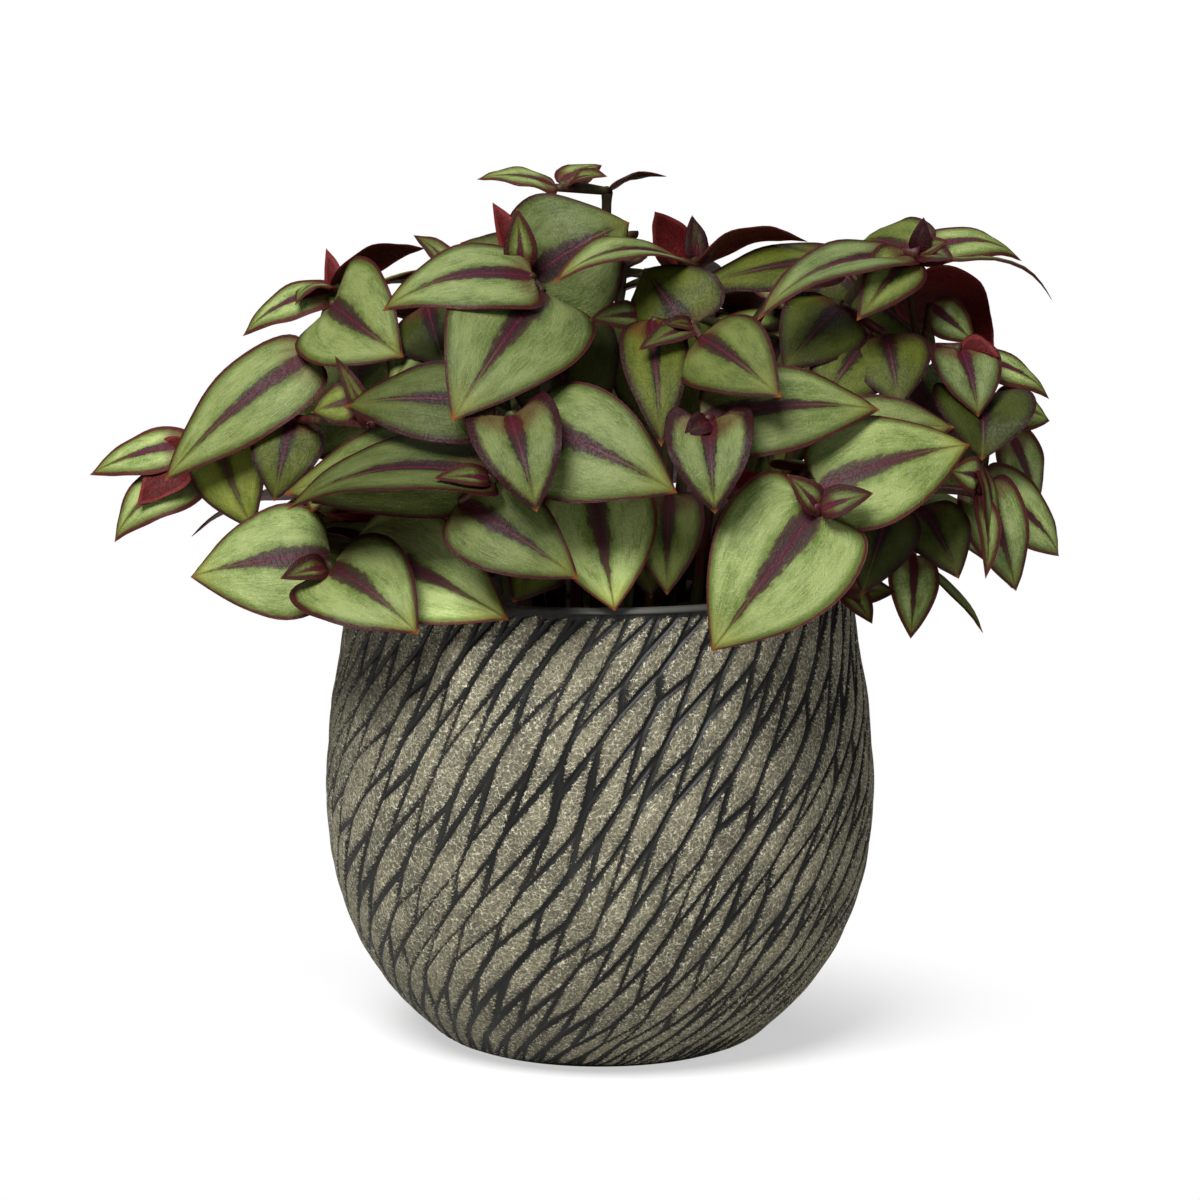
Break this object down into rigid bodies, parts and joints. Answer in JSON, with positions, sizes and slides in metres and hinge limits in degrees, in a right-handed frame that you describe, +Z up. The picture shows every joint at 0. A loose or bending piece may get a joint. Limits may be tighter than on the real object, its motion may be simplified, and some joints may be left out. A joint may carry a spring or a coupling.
{
  "type": "potted tradescantia",
  "caption": "Leafy trailing house plant with silver-banded heart-shaped leaves, standing in a round bulbous pot with slanting carved ridges.",
  "frame": {"origin": "centre of the pot's flat foot, on the pot's axis at the surface that it stands on", "axes": "+Z up the pot's axis; -Y is the front of the plant, as in the picture, and +X its right side"},
  "size_m": [0.2645, 0.2116, 0.2422],
  "materials": {
    "stoneware": "matte",
    "potting_soil": "matte",
    "foliage": "satin"
  },
  "bodies": {
    "root": {"back_crown_1": "foliage", "back_high_1": "foliage", "back_high_2": "foliage", "back_high_3": "foliage", "back_high_4": "foliage", "back_low_1": "foliage", "back_low_2": "foliage", "back_low_3": "foliage", "back_low_4": "foliage", "back_low_5": "foliage", "back_middle_1": "foliage", "back_middle_2": "foliage", "back_middle_3": "foliage", "back_middle_4": "foliage", "back_middle_5": "foliage", "crown": "foliage", "front_left": "foliage", "front_right": "foliage", "heart_left": "foliage", "heart_right": "foliage", "inner_left": "foliage", "inner_right": "foliage", "left_far": "foliage", "left_inner": "foliage", "left_middle": "foliage", "left_top": "foliage", "lower_left": "foliage", "lower_right": "foliage", "middle_right": "foliage", "pot": "stoneware", "right_bottom": "foliage", "right_inner": "foliage", "right_low": "foliage", "right_side": "foliage", "right_under": "foliage", "side_high_1": "foliage", "side_high_2": "foliage", "side_low_1": "foliage", "side_low_2": "foliage", "side_middle_1": "foliage", "side_middle_2": "foliage", "soil": "potting_soil", "top_left": "foliage", "upper_middle": "foliage", "upper_right": "foliage"}
  },
  "joints": []
}
